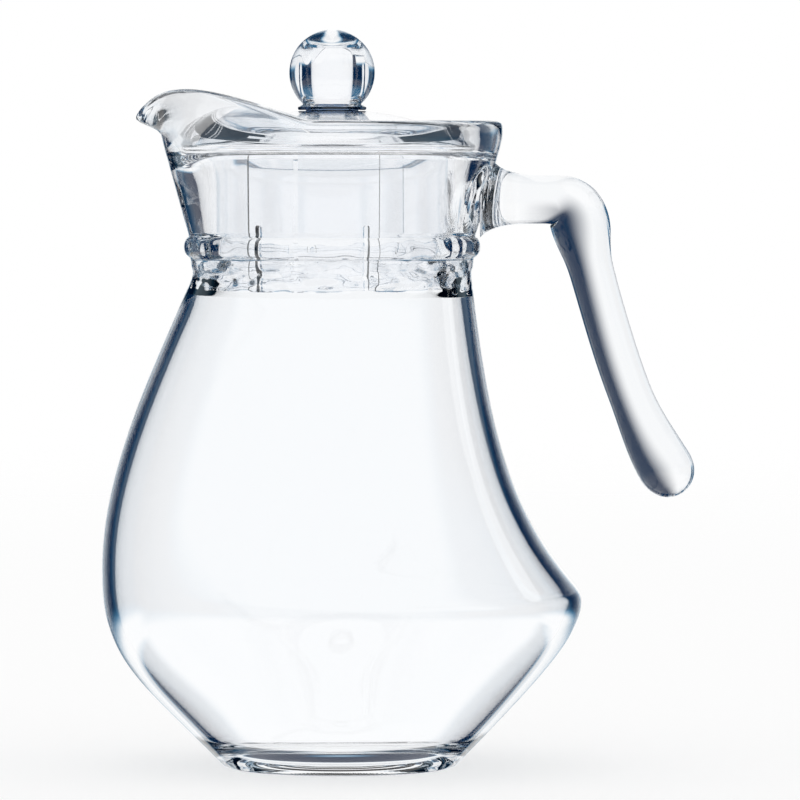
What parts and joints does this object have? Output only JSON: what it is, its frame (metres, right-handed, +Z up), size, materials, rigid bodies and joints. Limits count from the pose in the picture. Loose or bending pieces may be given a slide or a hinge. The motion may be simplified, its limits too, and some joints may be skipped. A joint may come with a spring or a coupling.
{
  "type": "cold water jug",
  "caption": "Clear glass water jug with a flat foot, a tailed round bowl, a duck-bill spout, a free-ended glass handle and a lift-out clear plastic lid with a ball knob.",
  "frame": {"origin": "on the neck's axis, at the flat foot", "axes": "+Z up along the neck's axis, +X towards the handle, -X towards the spout"},
  "size_m": [0.1802, 0.1456, 0.2239],
  "materials": {
    "glass": "fire polished",
    "clear_plastic": "clear gloss"
  },
  "bodies": {
    "jug": {"jug_body": "glass", "handle": "glass"},
    "knob": {"lid_knob": "clear_plastic"},
    "lid": {"lid_cover": "clear_plastic"}
  },
  "joints": [
    {"name": "lid_lift", "type": "slide", "parent": "jug", "child": "knob", "axis": [0, 0, 1], "range_m": [0, 0.075]},
    {"name": "lid_turn", "type": "hinge", "parent": "knob", "child": "lid", "pos_m": [0, 0, 0.19], "axis": [0, 0, 1], "continuous": true}
  ]
}
